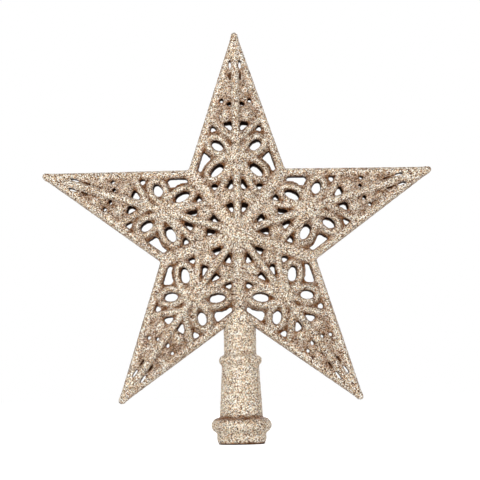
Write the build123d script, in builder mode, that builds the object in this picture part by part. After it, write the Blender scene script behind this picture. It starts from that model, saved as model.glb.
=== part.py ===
from build123d import *
import os
from math import cos, hypot, radians, sin

# A Christmas tree topper star, in millimetres: two pierced half shells that meet at a parting plane, and a
# turned twig socket whose neck straddles the star's rim and holds a tongue between the halves.
# The origin is the centre of the socket's mouth, +Z runs up the tree and the star faces -Y.

# Star outline
arm_count = 5
tip_radius = 107.6
notch_radius = 41.9
tip_blunting = 3.0

# Half shells, measured from the parting plane along the mould's draw
rim_half_depth = 3.5
peak_half_depth = 20.0
shell_thickness = 2.3
rim_width = 3.8
web_recess = 0.8

# Bars of the filigree
ridge_bar_width = 4.3
valley_bar_width = 7.6
stalk_width = 4.0
stalk_length = 20.0
cross_bar_width = 7.2
cross_bar_reach = 9.0

# The flower on each arm: four looped petals, with a bridge where the loops meet
loop_start = 8.0
loop_reach = 16.4
loop_hole_width = 6.0
loop_bar_width = 3.6
loop_corner = 1.5
bridge_reach = 13.4
bridge_width = 4.4

# Small piercings of the web near each tip
shoulder_hole_radius = 2.0
ridge_hole_radius = 2.0

# Tabs near the tips that line the halves up
tab_inset = 11.6
tab_length = 4.0
tab_width = 1.6
tab_height = 1.8
tab_clearance = 0.1

# Neck of the socket: its saddle straddles the star's rim, and its tongue lies between the halves
neck_radius = 8.2
neck_length = 19.6
saddle_clearance = 0.1
tongue_width = 6.0
tongue_thickness = 3.0
tongue_length = 38.0
tongue_clearance = 0.1

# Twig socket, with its walls measured from its mouth below and from its neck above
socket_height = 45.0
mouth_radius = 10.0
mouth_length = 9.0
foot_wall = 2.5
foot_height = 5.9
foot_toe = 1.0
foot_rise = 2.6
base_bead_wall = 5.3
base_bead_height = 7.6
bead_root_wall = 2.1
stem_base_wall = 1.0
stem_top_step = 1.2
collar_bead_step = 2.7
collar_bead_height = 4.9
bore_wall = 1.8
bore_roof = 6.0

# Places along an arm as shares of its length, and angles in degrees
flower_share = 0.366
upper_stalk_share = 0.439
lower_stalk_share = 0.340
cross_bar_share = 0.178
web_start_share = 0.536
web_end_share = 0.850
shoulder_hole_share = 0.640
ridge_hole_share = 0.622
upper_stalk_angle = 45
lower_stalk_angle = 149
loop_angle = 33.5

# Worked out from the sizes above
notch_height = socket_height + neck_length
star_centre_height = notch_height + notch_radius
pitch = 360 / arm_count
notch_across = notch_radius * sin(radians(pitch / 2))
notch_along = notch_radius * cos(radians(pitch / 2))
edge_distance = tip_radius * notch_across / hypot(notch_across, tip_radius - notch_along)
arm_taper = notch_across / (tip_radius - notch_along)
roof_slope = (peak_half_depth - rim_half_depth) / edge_distance
loop_end = loop_reach - loop_hole_width / 2
loop_turns = (loop_angle, -loop_angle, 180 + loop_angle, 180 - loop_angle)
flower = Pos(0, flower_share * tip_radius)
web_start = web_start_share * tip_radius
web_length = web_end_share * tip_radius - web_start
tab_radius = tip_radius - tab_inset
bore_end = notch_height - bore_roof
bore_end_radius = neck_radius - bore_wall
foot_radius = mouth_radius + foot_wall
bead_root_radius = mouth_radius + bead_root_wall
stem_base_radius = mouth_radius + stem_base_wall
stem_top_radius = neck_radius + stem_top_step


def view_plane(depth):
    """The plane that lies depth in front of the parting plane, seen as the viewer sees the star."""
    return Plane(origin=(0, -depth, star_centre_height), x_dir=(1, 0, 0), z_dir=(0, -1, 0))


def polar(distance, angle):
    """The point at a distance from the star's centre, at an angle clockwise from the upper arm."""
    return (distance * sin(radians(angle)), distance * cos(radians(angle)))


def star_points(inset):
    """Corners of the pointed star, its edges moved in by inset: all edges lie equally far from the centre."""
    keep = 1 - inset / edge_distance
    corners = []
    for arm in range(arm_count):
        corners.append(polar(tip_radius * keep, arm * pitch))
        corners.append(polar(notch_radius * keep, (arm + 1 / 2) * pitch))
    return corners


def star_face(inset, depth):
    """The pointed star's face, its edges moved in by inset, at a depth in front of the parting plane."""
    with BuildSketch(view_plane(depth)) as face_sketch:
        with BuildLine():
            Polyline(*star_points(inset), close=True)
        make_face()
    return face_sketch.sketch


def star_roof(inset, edge_depth, peak_depth, mode=Mode.ADD):
    """A star-shaped slab whose facets rise from its edges to one peak over the centre."""
    peak = Vertex(0, -peak_depth, star_centre_height)
    extrude(star_face(inset, 0), amount=edge_depth, mode=mode)
    loft(sections=[star_face(inset, edge_depth).face(), peak], ruled=True, mode=mode)


def bar(start, end, width, mode=Mode.ADD):
    """A round-ended flat bar in the current sketch."""
    middle = ((start[0] + end[0]) / 2, (start[1] + end[1]) / 2)
    SlotCenterPoint(middle, end, width, mode=mode)


def stalk(share, angle, side, mode=Mode.ADD):
    """A bar that leaves the ridge at a share of the arm, at an angle off it towards one side."""
    across, along = polar(stalk_length, angle)
    start = (0, share * tip_radius)
    bar(start, (side * across, start[1] + along), stalk_width, mode=mode)


# The star's outline with blunted tips, and the ground inside its rim
with BuildSketch() as star_outline:
    with BuildLine():
        Polyline(*star_points(0), close=True)
    make_face()
    chamfer(star_outline.vertices().sort_by_distance((0, 0))[-arm_count:], tip_blunting)
with BuildSketch() as ground:
    with BuildLine():
        Polyline(*star_points(rim_width), close=True)
    make_face()

# The hole inside one looped petal, drawn outwards from the flower's centre
with BuildSketch() as loop_hole:
    half_width = loop_hole_width / 2
    with BuildLine():
        Polyline(
            (loop_end, half_width),
            (loop_start + loop_corner, half_width),
            (loop_start, 0),
            (loop_start + loop_corner, -half_width),
            (loop_end, -half_width),
        )
        ThreePointArc((loop_end, -half_width), (loop_reach, 0), (loop_end, half_width))
    make_face()

# The bars and the web of one arm, which points along +Y of the drawing
with BuildSketch() as arm_bars:
    bar((0, 0), (0, tip_radius), ridge_bar_width)
    bar((0, 0), (notch_across, notch_along), valley_bar_width)
    for side in (-1, 1):
        stalk(upper_stalk_share, upper_stalk_angle, side)
        stalk(lower_stalk_share, lower_stalk_angle, side)
    for turn in loop_turns:
        with Locations(flower * Rot(0, 0, turn)):
            bar((0, 0), (loop_end, 0), loop_hole_width + 2 * loop_bar_width)
    with Locations(flower):
        Rectangle(2 * bridge_reach, bridge_width)
    with Locations((0, cross_bar_share * tip_radius)):
        Rectangle(2 * cross_bar_reach, cross_bar_width)
    with Locations((0, web_start)):
        Rectangle(2 * notch_across, tip_radius, align=(Align.CENTER, Align.MIN))

# The piercings of one arm that its bars don't leave by themselves
with BuildSketch() as arm_piercings:
    for turn in loop_turns:
        with Locations(flower * Rot(0, 0, turn)):
            add(loop_hole.sketch)
    for side in (-1, 1):
        shoulder = shoulder_hole_share * tip_radius
        rim_edge = (tip_radius - shoulder) * arm_taper - rim_width
        with Locations((side * (rim_edge - shoulder_hole_radius), shoulder)):
            RegularPolygon(shoulder_hole_radius, 3, rotation=90)
        ridge_edge = (ridge_bar_width + ridge_hole_radius) / 2
        with Locations((side * ridge_edge, ridge_hole_share * tip_radius)):
            RegularPolygon(ridge_hole_radius, 3, rotation=90 - side * 90)

# The part of one arm's web that is sunk between the ridge, the stalks and the rim
with BuildSketch() as arm_recess:
    with Locations((0, web_start)):
        Rectangle(2 * notch_across, web_length, align=(Align.CENTER, Align.MIN))
    bar((0, 0), (0, tip_radius), ridge_bar_width, mode=Mode.SUBTRACT)
    for side in (-1, 1):
        stalk(upper_stalk_share, upper_stalk_angle, side, mode=Mode.SUBTRACT)

# The openings and the sunk webs of the whole star
with BuildSketch() as filigree:
    with PolarLocations(0, arm_count):
        add(arm_bars.sketch)
    with PolarLocations(0, arm_count):
        add(arm_piercings.sketch, mode=Mode.SUBTRACT)
with BuildSketch() as openings:
    add(ground.sketch)
    add(filigree.sketch, mode=Mode.SUBTRACT)
with BuildSketch() as recesses:
    with PolarLocations(0, arm_count):
        add(arm_recess.sketch)
    add(ground.sketch, mode=Mode.INTERSECT)

# What is cut away above the sunk webs
with BuildPart() as recess_cutter:
    with BuildSketch(view_plane(0)):
        add(recesses.sketch)
    extrude(amount=peak_half_depth)
    star_roof(0, rim_half_depth - web_recess, peak_half_depth - web_recess, mode=Mode.SUBTRACT)

# Half of the star, slotted at its lower notch for half of the tongue
with BuildPart() as half_star:
    star_roof(0, rim_half_depth, peak_half_depth)
    with BuildSketch(view_plane(0)):
        add(star_outline.sketch)
    extrude(amount=peak_half_depth, mode=Mode.INTERSECT)
    inner_depth = rim_half_depth + roof_slope * rim_width - shell_thickness
    star_roof(rim_width, inner_depth, peak_half_depth - shell_thickness, mode=Mode.SUBTRACT)
    with BuildSketch(view_plane(0)):
        add(openings.sketch)
    extrude(amount=peak_half_depth, mode=Mode.SUBTRACT)
    add(recess_cutter.part, mode=Mode.SUBTRACT)
    with BuildSketch(view_plane(0)):
        with Locations((0, -notch_radius)):
            Rectangle(tongue_width + 2 * tongue_clearance, 2 * tongue_width)
    extrude(amount=tongue_thickness / 2 + tongue_clearance, mode=Mode.SUBTRACT)

# The front half has the slots for the tabs
with BuildPart() as front_star_shell:
    add(half_star.part)
    with BuildSketch(view_plane(0)):
        with PolarLocations(tab_radius, arm_count, start_angle=90):
            Rectangle(tab_length + 2 * tab_clearance, tab_width + 2 * tab_clearance)
    extrude(amount=tab_height + tab_clearance, mode=Mode.SUBTRACT)

# The back half is the front's mirror image and carries the tabs
with BuildPart() as back_star_shell:
    mirror(half_star.part, about=Plane.XZ)
    with BuildSketch(view_plane(0)):
        with PolarLocations(tab_radius, arm_count, start_angle=90):
            Rectangle(tab_length, tab_width)
    extrude(amount=tab_height)

# The room that the neck's saddle leaves for the star's rim
with BuildPart() as rim_room:
    star_roof(-saddle_clearance, rim_half_depth + saddle_clearance, peak_half_depth + saddle_clearance)
    mirror(about=Plane.XZ)

# The turned twig socket: a foot, a heavy bead, a tapered stem, a collar bead and the neck with its saddle
with BuildPart() as twig_socket:
    bead_end = foot_height + base_bead_height
    collar_start = socket_height - collar_bead_height
    with BuildSketch(Plane.XZ):
        with BuildLine():
            Polyline(
                (0, 0),
                (foot_radius - foot_toe, 0),
                (foot_radius, foot_rise),
                (foot_radius, foot_height),
                (bead_root_radius, foot_height),
            )
            ThreePointArc(
                (bead_root_radius, foot_height),
                (mouth_radius + base_bead_wall, (foot_height + bead_end) / 2),
                (bead_root_radius, bead_end),
            )
            Polyline(
                (bead_root_radius, bead_end),
                (stem_base_radius, bead_end),
                (stem_top_radius, collar_start),
            )
            ThreePointArc(
                (stem_top_radius, collar_start),
                (neck_radius + collar_bead_step, (collar_start + socket_height) / 2),
                (stem_top_radius, socket_height),
            )
            Polyline(
                (stem_top_radius, socket_height),
                (neck_radius, socket_height),
                (neck_radius, star_centre_height),
                (0, star_centre_height),
                (0, 0),
            )
        make_face()
    revolve(axis=Axis.Z)
    # The neck ends in a gable along the rim's inner edge
    with BuildSketch(view_plane(0)):
        add(ground.sketch)
    extrude(amount=neck_radius, both=True, mode=Mode.SUBTRACT)
    add(rim_room.part, mode=Mode.SUBTRACT)
    with Locations((0, 0, bore_end)):
        tongue_size = (tongue_width, tongue_thickness, bore_roof + tongue_length)
        Box(*tongue_size, align=(Align.CENTER, Align.CENTER, Align.MIN))
    # The mouth and the tapered bore that grips the twig
    with BuildSketch(Plane.XZ):
        with BuildLine():
            Polyline(
                (0, 0),
                (mouth_radius, 0),
                (mouth_radius, mouth_length),
                (bore_end_radius, bore_end),
                (0, bore_end),
                close=True,
            )
        make_face()
    revolve(axis=Axis.Z, mode=Mode.SUBTRACT)

front_star_shell.part.label = "front_star_shell"
back_star_shell.part.label = "back_star_shell"
twig_socket.part.label = "twig_socket"
os.makedirs("parts", exist_ok=True)
export_step(front_star_shell.part, "parts/front_star_shell.step")
export_step(back_star_shell.part, "parts/back_star_shell.step")
export_step(twig_socket.part, "parts/twig_socket.step")
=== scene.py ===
from math import atan2, cos, hypot, pi, radians, sin

import bpy
import numpy as np
from mathutils import Matrix, Vector


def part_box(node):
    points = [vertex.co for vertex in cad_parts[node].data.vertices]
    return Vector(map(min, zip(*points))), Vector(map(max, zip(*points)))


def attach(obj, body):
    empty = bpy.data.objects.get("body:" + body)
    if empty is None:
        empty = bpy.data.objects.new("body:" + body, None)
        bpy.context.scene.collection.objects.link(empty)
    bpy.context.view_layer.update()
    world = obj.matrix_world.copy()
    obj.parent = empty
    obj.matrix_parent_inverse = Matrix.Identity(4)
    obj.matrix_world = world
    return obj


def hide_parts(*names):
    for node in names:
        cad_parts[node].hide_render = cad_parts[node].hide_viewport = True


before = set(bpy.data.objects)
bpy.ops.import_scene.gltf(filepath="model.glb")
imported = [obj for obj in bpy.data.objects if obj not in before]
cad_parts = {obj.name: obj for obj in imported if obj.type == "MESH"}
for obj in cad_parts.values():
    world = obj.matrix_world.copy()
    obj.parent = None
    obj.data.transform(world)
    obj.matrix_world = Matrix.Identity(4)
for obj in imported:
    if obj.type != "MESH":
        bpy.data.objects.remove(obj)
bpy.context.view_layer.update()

bl_info = {
    "name": "Glitter Star Topper",
    "version": (1, 0, 0),
    "blender": (4, 5, 0),
    "location": "3D View > Sidebar > Topper",
    "description": "Carves, coats and shows a pierced Christmas tree topper star",
    "category": "Object",
}

MM = 0.001
ARMS = 5
PITCH = 2 * pi / ARMS
BODY = "root"
COAT_NAME = "glitter_coat"
SUNK_LAYER = "sunk"

# Layers of a half shell that are lowered, in millimetres below its facets, and by what share of the carving
GROUND_LAYERS = ((-0.2, 0.4, 1.0), (0.4, 1.2, 0.1), (1.8, 2.8, 0.4))
# Lobes on half an arm, in millimetres: across the arm, along it, and their radius
LOBES_MM = (
    (5.3, 18.9, 4.2),
    (5.3, 60.9, 3.6),
    (4.9, 74.6, 2.6),
    (0.0, 98.6, 2.8),
    (0.0, 101.0, 2.3),
    (0.0, 102.8, 1.9),
)
# Looped petals on half an arm: degrees from straight across, then reach and radius of the end in millimetres
PETALS = ((33.5, 13.2, 3.65), (-35.0, 14.0, 3.9))
# Slits and recesses on half an arm, in millimetres: across the arm, along it, width, height and depth
SLITS_MM = ((2.5, 87.8, 1.5, 5.2, 6.0), (2.6, 81.2, 1.4, 4.4, 2.5))
# Angles from straight across at which the stalks leave the ridge
UPPER_STALK_ANGLE = radians(45)
LOWER_STALK_ANGLE = radians(-59)
# A thin strand from the ridge towards the rim: its ends, its width in bar radii, and how deep it lies
STRAND_START = (0, 73.4 * MM)
STRAND_END = (5.6 * MM, 69 * MM)
STRAND_WIDTH = 1.3
STRAND_SINK = 0.3 * MM
# Bar radii from the end of the ridge bar to the tip
RIDGE_GAP = 5

# Fineness of the shapes that are skinned over or cut away
BAR_SIDES = 16
PETAL_BEVEL = 3
LOBE_SEGMENTS = 24
LOBE_RINGS = 12
SLIT_CORNERS = 6
# How near two corners of a copied mesh must be to become one
MERGE_DISTANCE = 0.001 * MM
# How a skin is softened, and the seeds of its grains
SOFTEN_FACTOR = 0.5
SOFTEN_PASSES = 2
STAR_SEED = 3
STEM_SEED = 5

# How deep the coat counts as sunk, in millimetres: where brightened most, at most on the rim, at the painted
# shade in the crease over the bead, at the painted shadow along the sole
BRIGHTEST_SUNK = -1.0
RIM_SUNK = 0.8
CREASE_SHADE_SUNK = 1.6
SOLE_SHADOW_SUNK = 4
# Where the painted shade in the crease over the heavy bead lies, in millimetres up the stem, and how fast
# the painted shadow at the sole's edge fades
CREASE_SHADE_HEIGHT = 13.3
SOLE_SHADOW_FADE = 3

# Where each colour stands on the ramp of a flake's brightness: the darkest end is painted shade of flakes
# that face away, the lightest a painted glint
BRIGHTNESS_STOPS = {
    "shadow_brown": 0.08,
    "bronze": 0.3,
    "champagne": 0.5,
    "pale_gold": 0.65,
    "spark": 0.85,
}
# Where each tint stands on the ramp of a flake's hue
HUE_STOPS = {"warm": 0.0, "rose": 0.35, "sage": 0.65, "cool": 1.0}
# How far the flakes move up the ramp of brightness where brightened: a painted highlight on what stands
# above the facets, and all over the stem
BRIGHTENED_LIFT = 0.14
# Larger flakes take a painted glint above one chance and painted shade below another
FLASH_ABOVE = 0.8
SHADED_FLAKE_BELOW = 0.22
# Sunk millimetres over which the coat is brightened, takes painted copper shade, and gives way to a dark
# brown that is partly bare plastic and partly painted shade
BRIGHTENED_RANGE = (0.0, BRIGHTEST_SUNK)
LOW_RANGE = (0.0, 1.6)
BARE_AND_SHADED_RANGE = (1.9, 2.7)
# Share of open sky over which a crevice takes painted copper shade, and level of noise over which that shade
# grows stronger in patches
CREVICE_SHADE_RANGE = (0.95, 0.45)
PATCHY_RANGE = (0.35, 0.65)
# Share of painted copper shade in crevices and on low ground, and how much more of it shows in random
# patches
CREVICE_SHADE_COPPER = 0.4
CREVICE_SHADE_PATCHY = 0.5
LOW_SHADE_COPPER = 0.55
LOW_SHADE_PATCHY = 0.6
# The flakes' metal, their least roughness, what the dullest of them add to it, and the plastic's shine
FLAKE_METAL = 0.4
FLAKE_ROUGHNESS = 0.3
DULL_ROUGHNESS = 0.35
PLASTIC_SHINE = 0.12
CREVICE_SAMPLES = 8
PATCH_DETAIL = 2.0
MIDDLE_COLOUR = (0.5, 0.5, 0.5)
# Numbers of a Mix node's sockets for colours
MIX_FACTOR = 0
MIX_FIRST = 6
MIX_SECOND = 7
MIX_RESULT = 2

# Where the lamps stand and how wide they are, in metres
LAMP_PLACES = {"key": (-0.45, -1.0, 0.55), "fill": (0.7, -0.9, 0.2), "back": (0.3, 1.1, 0.5)}
LAMP_SIZE = 0.6
# Width of the floor in metres, its colour, and how much light of its own is seen directly
FLOOR_SIZE = 8
PAPER = (0.9, 0.9, 0.9)
PAPER_GLOW = 0.63
WHITE = (1, 1, 1)
# A screen's highest value and its gamma
SCREEN_WHITE = 255
SCREEN_GAMMA = 2.2


def length(name, description, millimetres):
    """A size in metres that is written here in millimetres."""
    return bpy.props.FloatProperty(
        name=name, description=description, default=millimetres * MM, unit="LENGTH", precision=5
    )


def share(name, description, value):
    """A plain share between nothing and one."""
    return bpy.props.FloatProperty(name=name, description=description, default=value, min=0, max=1)


def power(name, description, watts):
    """The power of a lamp."""
    return bpy.props.FloatProperty(name=name, description=description, default=watts, unit="POWER")


def tint(name, description, red, green, blue):
    """A colour that is written here as it looks on a screen, from 0 to 255."""
    linear = [(part / SCREEN_WHITE) ** SCREEN_GAMMA for part in (red, green, blue)]
    return bpy.props.FloatVectorProperty(
        name=name, description=description, default=linear, size=3, subtype="COLOR", min=0, max=1
    )


class StarSizes(bpy.types.PropertyGroup):
    """Sizes of the pierced star, of the carving on its faces and of the coat's grain"""

    centre_height: length("Centre height", "Height of the star's centre above the foot", 106.5)
    tip_radius: length("Tip radius", "From the star's centre to a tip", 107.6)
    notch_radius: length("Notch radius", "From the star's centre to a notch between two arms", 41.9)
    rim_depth: length("Rim depth", "Half of the star's thickness at its rim", 3.5)
    rim_width: length("Rim width", "Width of the round bar along the rim", 4.7)
    bar_radius: length("Bar radius", "Radius of the round bars of the filigree", 1.75)
    valley_width: length("Valley width", "Width of the plain bars that lead to the notches", 7.6)
    carving_depth: length("Carving depth", "How far the ground lies below the crests of the bars", 1.6)
    flower_place: length("Flower place", "From the star's centre to the flower on an arm", 39.4)
    upper_stalk: length("Upper stalk", "Where the upper stalks leave the ridge", 47.2)
    lower_stalk: length("Lower stalk", "Where the lower stalks leave the ridge", 36.6)
    stalk_length: length("Stalk length", "Length of each stalk", 19.0)
    grain: length("Grain", "Size of the facets of the star's coat", 0.72)
    stem_grain: length("Stem grain", "Size of the facets of the stem's coat", 0.5)
    grain_height: length("Grain height", "How far the grains stand up from the coat", 0.1)


class GlitterFinish(bpy.types.PropertyGroup):
    """Colours and sparkle of the champagne glitter, with its painted glints and painted shade"""

    flake: length("Flake", "Size of a glitter flake", 0.26)
    # Cells of the painted glints and painted dark flakes
    glint: length("Glint", "Size of the larger flakes that flash or stay dark", 0.4)
    # Reach of the painted copper shade in crevices
    crevice: length("Crevice", "How near walls must be for a crevice to show copper", 3.0)
    # Patches that vary the strength of the painted copper shade
    patch: length("Patch", "Size of the patches where the coat is thin", 4.0)
    tilt: share("Tilt", "How far the flakes lean away from the surface", 0.45)
    # Painted shade of flakes that face away
    shadow_brown: tint("Shadow brown", "Flakes that face away", 44, 26, 18)
    bronze: tint("Bronze", "Darker flakes", 126, 92, 72)
    # Painted shade of larger flakes turned from the light
    shaded_flake_umber: tint("Umber", "Larger flakes that stay dark", 84, 58, 44)
    champagne: tint("Champagne", "Most of the flakes", 206, 172, 146)
    pale_gold: tint("Pale gold", "Lighter flakes", 252, 230, 206)
    # Painted glint of flakes that catch the light
    spark: tint("Spark", "Flakes that catch the light", 255, 253, 244)
    warm: tint("Warm", "Tint of the warmest flakes", 255, 226, 186)
    rose: tint("Rose", "Tint of the pinkish flakes", 255, 234, 224)
    sage: tint("Sage", "Tint of the greenish flakes", 242, 250, 224)
    cool: tint("Cool", "Tint of the coolest flakes", 250, 250, 250)
    # Tint of the painted shade in crevices and on low ground
    copper: tint("Copper", "Tint of the thin coat in shallow crevices", 160, 122, 92)
    # Partly bare plastic and partly painted shade on hole walls and inside, and a painted shadow along the
    # stem's sole
    bare_and_shade_brown: tint("Recess brown", "The bare plastic on hole walls and inside", 60, 42, 34)


class StageSettings(bpy.types.PropertyGroup):
    """Camera and light"""

    distance: length("Distance", "From the camera to the star", 1000)
    drop: length("Drop", "How far the camera stands below the star's centre", 75)
    view_width: length("View width", "Width of the picture where the star stands", 245.2)
    aim_right: length("Aim right", "Middle of the picture, right of the star's centre", 1.0)
    aim_down: length("Aim down", "Middle of the picture, below the star's centre", 2.4)
    lean: bpy.props.FloatProperty(
        name="Lean",
        description="How far the topper leans to the left",
        default=radians(1.1),
        subtype="ANGLE",
    )
    sky: share("Sky", "Strength of the even light from all round", 0.42)
    key_power: power("Key power", "Power of the main lamp", 7.1)
    fill_power: power("Fill power", "Power of the lamp on the other side", 2.8)
    back_power: power("Back power", "Power of the lamp behind the star", 3.5)


class Roof:
    """One face of the star: where a place on an arm lies, and which way the facet there looks.

    A place is given across and along the arm that points up, from the star's centre.
    """

    def __init__(self, sizes):
        self.centre = Vector((0, 0, sizes.centre_height))
        self.peak = -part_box("front_star_shell")[0].y
        self.tip = sizes.tip_radius
        across = sizes.notch_radius * sin(PITCH / 2)
        along = sizes.notch_radius * cos(PITCH / 2)
        edge = hypot(across, self.tip - along)
        self.outward = ((self.tip - along) / edge, across / edge)
        self.edge_distance = self.tip * self.outward[1]
        self.notch = (across, along)
        self.slope = (self.peak - sizes.rim_depth) / self.edge_distance

    def depth(self, across, along):
        """Depth of the facets in front of the parting plane."""
        return self.peak - self.slope * (self.outward[0] * abs(across) + self.outward[1] * along)

    def place(self, across, along, lift=0):
        """A point over the facets, lifted towards the viewer."""
        return self.centre + Vector((across, -self.depth(across, along) - lift, along))

    def facing(self, across):
        """The direction that the facet looks in: on the ridge, the middle of both facets."""
        side = (across > 0) - (across < 0)
        return Vector((self.slope * self.outward[0] * side, -1, self.slope * self.outward[1])).normalized()

    def turn(self, across, direction):
        """The rotation that lays a flat shape on the facet, its X axis along a direction on the arm."""
        up = self.facing(across)
        flat = Vector((direction[0], 0, direction[1]))
        side = (flat - flat.dot(up) * up).normalized()
        return Matrix((side, up.cross(side), up)).transposed().to_euler()

    def depth_at(self, points):
        """Depth of the facets at points of the whole star, given as an array of positions."""
        across = points[:, 0]
        along = points[:, 2] - self.centre.z
        turn = np.arctan2(across, along)
        turn = (turn + PITCH / 2) % PITCH - PITCH / 2
        reach = np.hypot(across, along)
        return self.depth(reach * np.sin(turn), reach * np.cos(turn))


class Wire:
    """A socket of a material's nodes, with arithmetic that adds the Math nodes it needs."""

    def __init__(self, tree, socket=None):
        self.tree = tree
        self.socket = socket

    def node(self, kind, inputs=(), output=0, stops=(), **settings):
        """Adds a node, makes its settings, fills or links its inputs and gives the output asked for."""
        node = self.tree.nodes.new(kind)
        for name, value in settings.items():
            setattr(node, name, value)
        while stops and len(node.color_ramp.elements) < len(stops):
            node.color_ramp.elements.new(1)
        for element, (position, colour) in zip(node.color_ramp.elements if stops else (), stops):
            element.position = position
            element.color = opaque(colour)
        for key, value in dict(inputs).items():
            if isinstance(value, Wire):
                self.tree.links.new(value.socket, node.inputs[key])
            else:
                node.inputs[key].default_value = value
        return Wire(self.tree, node.outputs[output]) if len(node.outputs) else node

    def output(self, name):
        """Another output of the same node."""
        return Wire(self.tree, self.socket.node.outputs[name])

    def spread(self, limits):
        """This value as a share that runs from nothing to one between two limits."""
        inputs = {"Value": self, "From Min": limits[0], "From Max": limits[1]}
        return self.node("ShaderNodeMapRange", inputs, "Result")

    def mixed(self, amount, colour, blend="MIX"):
        """This colour mixed with another one by an amount."""
        inputs = {MIX_FACTOR: amount, MIX_FIRST: self, MIX_SECOND: colour}
        return self.node("ShaderNodeMix", inputs, MIX_RESULT, data_type="RGBA", blend_type=blend)

    def math(self, operation, first, second):
        """A Math node on two values."""
        return self.node("ShaderNodeMath", {0: first, 1: second}, operation=operation)

    def __add__(self, other):
        return self.math("ADD", self, other)

    __radd__ = __add__

    def __sub__(self, other):
        return self.math("SUBTRACT", self, other)

    def __rsub__(self, other):
        return self.math("SUBTRACT", other, self)

    def __mul__(self, other):
        return self.math("MULTIPLY", self, other)

    __rmul__ = __mul__


def opaque(colour):
    """A colour that covers fully."""
    return (*colour, 1)


def blank_material(name):
    """A new material without nodes, and a wire to build on."""
    material = bpy.data.materials.new(name)
    material.use_nodes = True
    tree = material.node_tree
    tree.nodes.clear()
    return material, Wire(tree)


def cell_colours(place, size):
    """A random colour for each cell of a size."""
    inputs = {"Vector": place, "Scale": 1 / size}
    return place.node("ShaderNodeTexVoronoi", inputs, "Color", feature="F1")


def ramp_colour(value, finish, places):
    """The colour of a value on a ramp that has the finish's colours at their places."""
    stops = [(place, getattr(finish, name)) for name, place in places.items()]
    return value.node("ShaderNodeValToRGB", {"Fac": value}, "Color", stops=stops)


def flake_colour(place, luck, brightened, finish):
    """A brightness and a hue for each flake, lifted up the ramp where brightened, and larger flakes among
    them that get a painted glint, and others that get painted shade.
    """
    colour = ramp_colour(luck + BRIGHTENED_LIFT * brightened, finish, BRIGHTNESS_STOPS)
    hue = ramp_colour(luck.output("Blue"), finish, HUE_STOPS)
    colour = colour.mixed(1.0, hue, "MULTIPLY")
    # Painted glints and painted shade: some larger flakes turn white, others dark
    glints = cell_colours(place, finish.glint)
    chance = glints.node("ShaderNodeSeparateColor", {"Color": glints}, "Red")
    flash = chance.math("GREATER_THAN", chance, FLASH_ABOVE)
    colour = colour.mixed(flash, opaque(finish.spark))
    shaded_flake = chance.math("LESS_THAN", chance, SHADED_FLAKE_BELOW)
    return colour.mixed(shaded_flake, opaque(finish.shaded_flake_umber))


def copper_shade_share(place, low, finish):
    """How much painted copper shade shows in crevices and on low ground, with more of it in random patches.
    """
    # Painted shade: crevices that see little open sky are darkened towards copper
    open_sky = place.node(
        "ShaderNodeAmbientOcclusion",
        {"Distance": finish.crevice},
        "AO",
        samples=CREVICE_SAMPLES,
        only_local=True,
    )
    crevice_shade = open_sky.spread(CREVICE_SHADE_RANGE)
    inputs = {"Vector": place, "Scale": 1 / finish.patch, "Detail": PATCH_DETAIL}
    patchy = place.node("ShaderNodeTexNoise", inputs, "Fac").spread(PATCHY_RANGE)
    in_crevices = (CREVICE_SHADE_COPPER + CREVICE_SHADE_PATCHY * patchy) * crevice_shade
    on_low_ground = (LOW_SHADE_COPPER + LOW_SHADE_PATCHY * patchy) * low
    return in_crevices + on_low_ground


def flake_normal(flakes, tilt):
    """The surface's normal, leaning its own way on each flake."""
    lean = flakes.node(
        "ShaderNodeVectorMath", {0: flakes, 1: MIDDLE_COLOUR}, "Vector", operation="SUBTRACT"
    )
    lean = flakes.node("ShaderNodeVectorMath", {0: lean, "Scale": tilt}, "Vector", operation="SCALE")
    normal = flakes.node("ShaderNodeNewGeometry", output="Normal")
    normal = flakes.node("ShaderNodeVectorMath", {0: normal, 1: lean}, "Vector", operation="ADD")
    return flakes.node("ShaderNodeVectorMath", {0: normal}, "Vector", operation="NORMALIZE")


def glitter_material(finish):
    """Champagne glitter: each flake has its own colour, gloss and lean, with painted glints and painted
    shade among them; crevices and low ground get painted copper shade, and deep down a dark brown shows that
    is partly bare plastic and partly painted shade.
    """
    material, wire = blank_material(COAT_NAME)
    place = wire.node("ShaderNodeTexCoord", output="Object")
    sunk = wire.node("ShaderNodeAttribute", output="Fac", attribute_name=SUNK_LAYER)
    bare_and_shaded = sunk.spread(BARE_AND_SHADED_RANGE)
    flakes = cell_colours(place, finish.flake)
    luck = wire.node("ShaderNodeSeparateColor", {"Color": flakes}, "Red")
    gloss = luck.output("Green")
    # Brightened: a painted highlight on what stands above the facets, and the whole stem lighter
    colour = flake_colour(place, luck, sunk.spread(BRIGHTENED_RANGE), finish)
    copper_shade_amount = copper_shade_share(place, sunk.spread(LOW_RANGE), finish)
    # Painted copper shade multiplies the flakes' colour in crevices and on low ground
    colour = colour.mixed(copper_shade_amount, opaque(finish.copper), "MULTIPLY")
    # Dark brown that is partly bare plastic and partly painted shade on hole walls and inside, and a painted
    # shadow along the stem's sole
    colour = colour.mixed(bare_and_shaded, opaque(finish.bare_and_shade_brown))
    surface = wire.node(
        "ShaderNodeBsdfPrincipled",
        {
            "Base Color": colour,
            "Metallic": FLAKE_METAL * gloss * (1 - bare_and_shaded),
            "Roughness": FLAKE_ROUGHNESS + DULL_ROUGHNESS * (1 - gloss),
            "Specular IOR Level": PLASTIC_SHINE,
            "Normal": flake_normal(flakes, finish.tilt),
        },
        "BSDF",
    )
    wire.node("ShaderNodeOutputMaterial", {"Surface": surface})
    return material


def seen_directly(wire):
    """One for rays from the camera, from mirror-like surfaces and through clear ones, else nothing."""
    camera = wire.node("ShaderNodeLightPath", output="Is Camera Ray")
    return camera + camera.output("Is Glossy Ray") + camera.output("Is Transmission Ray")


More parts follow.
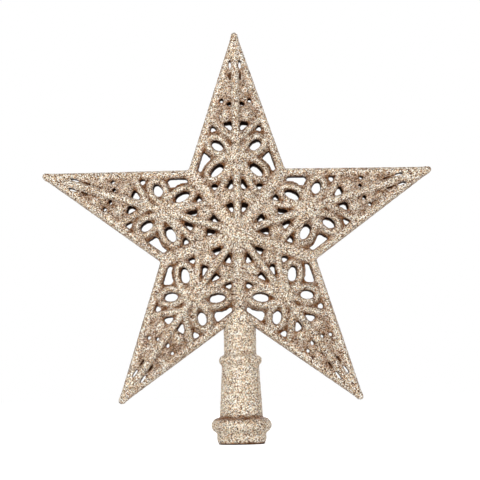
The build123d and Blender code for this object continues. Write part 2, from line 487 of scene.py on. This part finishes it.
def backdrop_material():
    """White paper that keeps a faint shadow, with some light of its own that is only seen directly."""
    material, wire = blank_material("white_paper")
    seen = seen_directly(wire)
    paper = wire.node("ShaderNodeBsdfDiffuse", {"Color": opaque(PAPER)}, "BSDF")
    glow = wire.node("ShaderNodeEmission", {"Strength": PAPER_GLOW * seen}, "Emission")
    both = wire.node("ShaderNodeAddShader", {0: paper, 1: glow}, "Shader")
    wire.node("ShaderNodeOutputMaterial", {"Surface": both})
    return material


def positions(piece):
    """The positions of a mesh's vertices as an array."""
    points = np.zeros(len(piece.data.vertices) * 3, np.float32)
    piece.data.vertices.foreach_get("co", points)
    return points.reshape(-1, 3)


def select_only(*objects):
    """Selects these objects, the first of them active."""
    bpy.ops.object.select_all(action="DESELECT")
    for each in objects:
        each.select_set(True)
    bpy.context.view_layer.objects.active = objects[0]


def edit_all(*steps):
    """Runs edit mode steps on everything in the active mesh."""
    bpy.ops.object.mode_set(mode="EDIT")
    bpy.ops.mesh.select_all(action="SELECT")
    for step in steps:
        step()
    bpy.ops.object.mode_set(mode="OBJECT")


def apply_modifier(piece, kind, **settings):
    """Adds a modifier to the piece and applies it."""
    select_only(piece)
    bpy.ops.object.modifier_add(type=kind)
    modifier = piece.modifiers[-1]
    for name, value in settings.items():
        setattr(modifier, name, value)
    bpy.ops.object.modifier_apply(modifier=modifier.name)


def join(objects, name):
    """Joins objects into one mesh at the origin."""
    select_only(*objects)
    bpy.ops.object.join()
    bpy.ops.object.transform_apply(location=True, rotation=True, scale=True)
    piece = bpy.context.object
    piece.name = name
    piece.data.name = name
    return piece


def copy_of_node(node, name):
    """A piece of its own with a copy of a CAD node's mesh, its doubles merged."""
    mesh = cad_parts[node].data.copy()
    mesh.materials.clear()
    piece = bpy.data.objects.new(name, mesh)
    bpy.context.scene.collection.objects.link(piece)
    select_only(piece)
    edit_all(lambda: bpy.ops.mesh.remove_doubles(threshold=MERGE_DISTANCE))
    return piece


def sink_ground(piece, roof, depth):
    """Lowers the ground between the bars, so that the crests of the carving end up where the faces were."""
    points = positions(piece)
    sunk = roof.depth_at(points) + points[:, 1]
    for lowest, highest, fraction in GROUND_LAYERS:
        select_only(piece)
        edit_all(
            lambda: bpy.ops.mesh.select_mode(type="VERT"),
            lambda: bpy.ops.mesh.select_all(action="DESELECT"),
        )
        piece.data.vertices.foreach_set("select", (sunk > lowest * MM) & (sunk < highest * MM))
        bpy.ops.object.mode_set(mode="EDIT")
        bpy.ops.transform.translate(value=(0, depth * fraction, 0))
        bpy.ops.object.mode_set(mode="OBJECT")


def turned(reach, angle):
    """How far across and along a reach goes at an angle from straight across the arm."""
    return (reach * cos(angle), reach * sin(angle))


def bar(roof, start, end, width, height, crest=0):
    """A bar with an oval section along the facets, from one place on the arm to another."""
    first = roof.place(*start, crest - height / 2)
    last = roof.place(*end, crest - height / 2)
    run = (last - first).normalized()
    up = roof.facing((start[0] + end[0]) / 2)
    up = (up - up.dot(run) * run).normalized()
    bpy.ops.mesh.primitive_cylinder_add(
        vertices=BAR_SIDES,
        radius=width / 2,
        depth=(last - first).length,
        location=(first + last) / 2,
        rotation=Matrix((up, run.cross(up), run)).transposed().to_euler(),
    )
    bpy.ops.transform.resize(value=(height / width, 1, 1), orient_type="LOCAL")
    return bpy.context.object


def petal(roof, root, angle, reach, radius, thickness):
    """A round bar bent into a teardrop on the facet, its point at the root and its round end outwards."""
    across, along = turned(reach, angle)
    place = (root[0] + across, root[1] + along)
    bpy.ops.curve.primitive_bezier_circle_add(
        radius=radius,
        location=roof.place(*place, -thickness),
        rotation=roof.turn(place[0], turned(1, angle)),
    )
    teardrop = bpy.context.object
    bpy.ops.object.mode_set(mode="EDIT")
    bpy.ops.curve.select_all(action="DESELECT")
    point = min(teardrop.data.splines[0].bezier_points, key=lambda each: each.co.x)
    point.select_control_point = True
    point.select_left_handle = True
    point.select_right_handle = True
    bpy.ops.curve.handle_type_set(type="VECTOR")
    bpy.ops.transform.translate(value=(radius - reach, 0, 0), orient_type="LOCAL")
    bpy.ops.object.mode_set(mode="OBJECT")
    teardrop.data.bevel_depth = thickness
    teardrop.data.bevel_resolution = PETAL_BEVEL
    bpy.ops.object.convert(target="MESH")
    return bpy.context.object


def lobe(roof, place, radius, height):
    """A domed lobe that lies on the facet."""
    bpy.ops.mesh.primitive_uv_sphere_add(
        segments=LOBE_SEGMENTS,
        ring_count=LOBE_RINGS,
        radius=radius,
        location=roof.place(*place, -height),
        rotation=roof.turn(place[0], (1, 0)),
    )
    bpy.ops.transform.resize(value=(1, 1, height / radius), orient_type="LOCAL")
    return bpy.context.object


def slit(roof, place, width, height, depth):
    """A cutter for a slit or recess, sunk straight back from the facet, with its first corner up the arm."""
    bpy.ops.mesh.primitive_cylinder_add(
        vertices=SLIT_CORNERS,
        radius=width / 2,
        depth=2 * depth,
        location=roof.place(*place),
        rotation=(pi / 2, 0, 0),
    )
    bpy.ops.transform.resize(value=(1, height / width, 1), orient_type="LOCAL")
    return bpy.context.object


def carve_half_arm(roof, sizes):
    """The bars, looped petals and lobes on the right half of the arm that points up."""
    thickness = sizes.bar_radius
    width = 2 * thickness
    keep = 1 - sizes.rim_width / 2 / roof.edge_distance
    notch = (roof.notch[0] * keep, roof.notch[1] * keep)
    parts = [
        bar(roof, (0, 0), (0, roof.tip - RIDGE_GAP * thickness), width, width),
        bar(roof, (0, roof.tip * keep), notch, sizes.rim_width, width),
        bar(roof, (0, 0), notch, sizes.valley_width, width),
    ]
    stalks = ((sizes.upper_stalk, UPPER_STALK_ANGLE), (sizes.lower_stalk, LOWER_STALK_ANGLE))
    for start, angle in stalks:
        across, along = turned(sizes.stalk_length, angle)
        parts.append(bar(roof, (0, start), (across, start + along), width, width))
    root = (0, sizes.flower_place)
    for degrees, reach, radius in PETALS:
        parts.append(petal(roof, root, radians(degrees), reach * MM, radius * MM, thickness))
    for across, along, radius in LOBES_MM:
        parts.append(lobe(roof, (across * MM, along * MM), radius * MM, thickness))
    strand = STRAND_WIDTH * thickness
    parts.append(bar(roof, STRAND_START, STRAND_END, strand, strand, -STRAND_SINK))
    return join(parts, "carving")


def cut_half_arm(roof):
    """Cutters for the slits and recesses on the right half of the arm that points up."""
    parts = []
    for across, along, width, height, depth in SLITS_MM:
        parts.append(slit(roof, (across * MM, along * MM), width * MM, height * MM, depth * MM))
    return join(parts, "cutters")


def round_the_star(piece, roof):
    """Mirrors what is on the right half of the upper arm and repeats it round the star."""
    apply_modifier(piece, "MIRROR")
    turn = bpy.data.objects.new("arm_turn", None)
    bpy.context.scene.collection.objects.link(turn)
    spin = Matrix.Rotation(PITCH, 4, "Y")
    turn.matrix_world = Matrix.Translation(roof.centre) @ spin @ Matrix.Translation(-roof.centre)
    bpy.context.view_layer.update()
    apply_modifier(
        piece, "ARRAY", count=ARMS, use_relative_offset=False, use_object_offset=True, offset_object=turn
    )
    bpy.data.objects.remove(turn)


def skin(piece, grain):
    """Covers a shape with one even skin of small facets."""
    apply_modifier(piece, "REMESH", mode="VOXEL", voxel_size=grain)


def roughen(piece, height, seed):
    """Softens the edges of a skin and roughens it like glitter."""
    apply_modifier(piece, "SMOOTH", factor=SOFTEN_FACTOR, iterations=SOFTEN_PASSES)
    select_only(piece)
    edit_all(lambda: bpy.ops.transform.vertex_random(offset=height, uniform=0, normal=1, seed=seed))


def store_sunk(piece, sunk):
    """Keeps, for the finish, how deep in the carving each vertex lies, in millimetres."""
    layer = piece.data.attributes.new(SUNK_LAYER, "FLOAT", "POINT")
    layer.data.foreach_set("value", np.asarray(sunk / MM, np.float32))


def carved_front(sizes):
    """The front half of the star, carved, skinned, slit and roughened."""
    roof = Roof(sizes)
    front = copy_of_node("front_star_shell", "front_star")
    sink_ground(front, roof, sizes.carving_depth)
    carving = carve_half_arm(roof, sizes)
    round_the_star(carving, roof)
    front = join([front, carving], "front_star")
    skin(front, sizes.grain)
    cutters = cut_half_arm(roof)
    round_the_star(cutters, roof)
    apply_modifier(front, "BOOLEAN", operation="DIFFERENCE", object=cutters)
    bpy.data.objects.remove(cutters)
    roughen(front, sizes.grain_height, STAR_SEED)
    points = positions(front)
    depth = roof.depth_at(points)
    sunk = depth + points[:, 1]
    # On the rim the sunk depth is capped, which limits its painted copper shade and keeps the rim from
    # turning dark brown
    on_rim = depth < sizes.rim_depth + roof.slope * sizes.rim_width / 2
    store_sunk(front, np.where(on_rim, np.minimum(sunk, RIM_SUNK * MM), sunk))
    return front


def mirrored_back(front):
    """The back half of the star: the front half mirrored through the parting plane."""
    back = bpy.data.objects.new("back_star", front.data.copy())
    bpy.context.scene.collection.objects.link(back)
    select_only(back)
    back.scale.y = -1
    bpy.ops.object.transform_apply(location=False, rotation=False, scale=True)
    edit_all(lambda: bpy.ops.mesh.normals_make_consistent(inside=False))
    return back


def shared_glitter(context):
    """The one glitter material that all pieces wear."""
    return bpy.data.materials.get(COAT_NAME) or glitter_material(context.scene.topper_finish)


def finish_piece(piece, node, material):
    """Gives a piece its finish and puts it in the place of its CAD node."""
    piece.data.materials.append(material)
    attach(piece, BODY)
    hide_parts(node)


class TOPPER_OT_star_halves(bpy.types.Operator):
    """Carve the filigree on both halves of the star and coat them"""

    bl_idname = "topper.star_halves"
    bl_label = "Star halves"

    def execute(self, context):
        front = carved_front(context.scene.topper_star)
        back = mirrored_back(front)
        glitter = shared_glitter(context)
        finish_piece(front, "front_star_shell", glitter)
        finish_piece(back, "back_star_shell", glitter)
        return {"FINISHED"}


class TOPPER_OT_stem(bpy.types.Operator):
    """Coat the beaded stem that slips over the twig"""

    bl_idname = "topper.stem"
    bl_label = "Stem"

    def execute(self, context):
        sizes = context.scene.topper_star
        stem = copy_of_node("twig_socket", "twig_stem")
        skin(stem, sizes.stem_grain)
        roughen(stem, sizes.grain_height, STEM_SEED)
        height = positions(stem)[:, 2]
        # Painted shade in the crease over the heavy bead and a painted shadow along the sole, written as
        # sunk depths; elsewhere the whole stem counts as brightened
        crease_shade = np.clip(CREASE_SHADE_SUNK - np.abs(height - CREASE_SHADE_HEIGHT * MM) / MM, BRIGHTEST_SUNK, None) * MM
        sole_shadow = np.clip(SOLE_SHADOW_SUNK - SOLE_SHADOW_FADE * height / MM, BRIGHTEST_SUNK, None) * MM
        store_sunk(stem, np.maximum(crease_shade, sole_shadow))
        finish_piece(stem, "twig_socket", shared_glitter(context))
        return {"FINISHED"}


def soft_lamp(name, place, aim, watts):
    """A square lamp that looks at a point."""
    lamp = bpy.data.lights.new(name, "AREA")
    lamp.size = LAMP_SIZE
    lamp.energy = watts
    holder = bpy.data.objects.new(name, lamp)
    bpy.context.scene.collection.objects.link(holder)
    holder.location = place
    holder.rotation_euler = (aim - Vector(place)).to_track_quat("-Z", "Y").to_euler()


def white_room(scene, sky):
    """A world that looks white and lights evenly with a share of that white."""
    world = bpy.data.worlds.new("white_room")
    scene.world = world
    world.use_nodes = True
    world.node_tree.nodes.clear()
    wire = Wire(world.node_tree)
    strength = sky + (1 - sky) * seen_directly(wire)
    inputs = {"Color": opaque(WHITE), "Strength": strength}
    light = wire.node("ShaderNodeBackground", inputs, "Background")
    wire.node("ShaderNodeOutputWorld", {"Surface": light})


def front_camera(scene, settings, centre):
    """A camera a little below the star's centre that looks up at it."""
    camera = bpy.data.cameras.new("camera")
    camera.lens = camera.sensor_width * settings.distance / settings.view_width
    holder = bpy.data.objects.new("camera", camera)
    scene.collection.objects.link(holder)
    aim = centre + Vector((settings.aim_right, 0, -settings.aim_down))
    rise = atan2(settings.drop, settings.distance)
    facing = Matrix.Rotation(pi / 2 + rise, 3, "X") @ Matrix.Rotation(-settings.lean, 3, "Z")
    holder.location = aim - Vector((0, settings.distance, settings.drop))
    holder.rotation_euler = facing.to_euler()
    scene.camera = holder


class TOPPER_OT_stage(bpy.types.Operator):
    """Set the white paper, the lamps and the camera"""

    bl_idname = "topper.stage"
    bl_label = "Stage"

    def execute(self, context):
        scene = context.scene
        settings = scene.topper_stage
        centre = Vector((0, 0, scene.topper_star.centre_height))
        bpy.ops.mesh.primitive_plane_add(size=FLOOR_SIZE)
        floor = context.object
        floor.name = "white_floor"
        floor.data.materials.append(backdrop_material())
        white_room(scene, settings.sky)
        for name, place in LAMP_PLACES.items():
            soft_lamp(f"{name}_lamp", place, centre, getattr(settings, f"{name}_power"))
        front_camera(scene, settings, centre)
        scene.view_settings.view_transform = "Standard"
        return {"FINISHED"}


class TOPPER_PT_sidebar(bpy.types.Panel):
    """The topper's operators in the sidebar"""

    bl_idname = "TOPPER_PT_sidebar"
    bl_label = "Glitter Star Topper"
    bl_space_type = "VIEW_3D"
    bl_region_type = "UI"
    bl_category = "Topper"

    def draw(self, context):
        for operator in OPERATORS:
            self.layout.operator(operator.bl_idname)


OPERATORS = (TOPPER_OT_star_halves, TOPPER_OT_stem, TOPPER_OT_stage)
GROUPS = {"topper_star": StarSizes, "topper_finish": GlitterFinish, "topper_stage": StageSettings}


def register():
    for each in (*GROUPS.values(), *OPERATORS, TOPPER_PT_sidebar):
        bpy.utils.register_class(each)
    for name, group in GROUPS.items():
        setattr(bpy.types.Scene, name, bpy.props.PointerProperty(type=group))


def unregister():
    for name in GROUPS:
        delattr(bpy.types.Scene, name)
    for each in (TOPPER_PT_sidebar, *reversed(OPERATORS), *reversed(GROUPS.values())):
        bpy.utils.unregister_class(each)


def main():
    register()
    bpy.ops.topper.star_halves()
    bpy.ops.topper.stem()
    bpy.ops.topper.stage()


if __name__ == "__main__":
    main()
